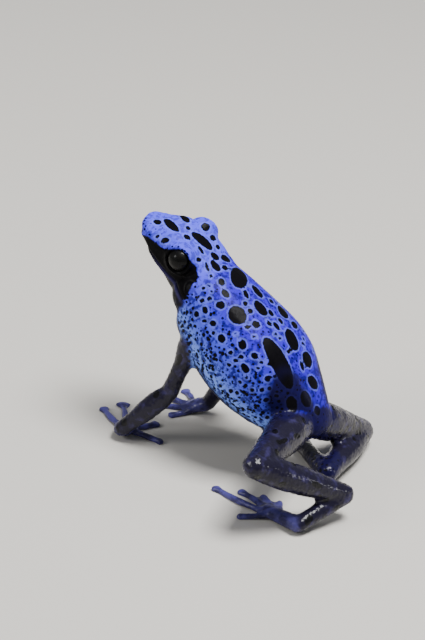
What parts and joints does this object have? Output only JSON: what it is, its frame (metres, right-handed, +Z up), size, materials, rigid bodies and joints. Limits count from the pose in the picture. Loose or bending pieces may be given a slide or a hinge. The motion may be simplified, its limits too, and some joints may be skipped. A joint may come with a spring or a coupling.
{
  "type": "blue poison dart frog",
  "caption": "Life-size still model of a small blue frog, raised on its arms with its legs folded, for a display or a terrarium scene.",
  "frame": {"origin": "bottom centre of the bounding box, on the floor that the frog sits on", "axes": "+Z up, the frog's snout towards -Y, its left side towards +X"},
  "size_m": [0.041, 0.0464, 0.0349],
  "materials": {
    "eyes": "clear and glossy",
    "skin_hands": "wet and glossy",
    "skin_feet": "wet and glossy",
    "skin_arms": "wet and glossy",
    "skin_head": "wet and glossy",
    "skin_throat": "wet and glossy",
    "skin_legs": "wet and glossy",
    "skin_trunk": "wet and glossy"
  },
  "bodies": {
    "root": {"eye_left": "eyes", "eye_right": "eyes", "finger_left_1": "skin_hands", "finger_left_2": "skin_hands", "finger_left_3": "skin_hands", "finger_left_4": "skin_hands", "finger_right_1": "skin_hands", "finger_right_2": "skin_hands", "finger_right_3": "skin_hands", "finger_right_4": "skin_hands", "foot_left": "skin_feet", "foot_right": "skin_feet", "forearm_left": "skin_arms", "forearm_right": "skin_arms", "hand_left": "skin_hands", "hand_right": "skin_hands", "head": "skin_head", "lower_jaw": "skin_throat", "shank_left": "skin_legs", "shank_right": "skin_legs", "tarsus_left": "skin_legs", "tarsus_right": "skin_legs", "thigh_left": "skin_legs", "thigh_right": "skin_legs", "toe_left_1": "skin_feet", "toe_left_2": "skin_feet", "toe_left_3": "skin_feet", "toe_left_4": "skin_feet", "toe_left_5": "skin_feet", "toe_right_1": "skin_feet", "toe_right_2": "skin_feet", "toe_right_3": "skin_feet", "toe_right_4": "skin_feet", "toe_right_5": "skin_feet", "torso": "skin_trunk", "upper_arm_left": "skin_arms", "upper_arm_right": "skin_arms"}
  },
  "joints": []
}
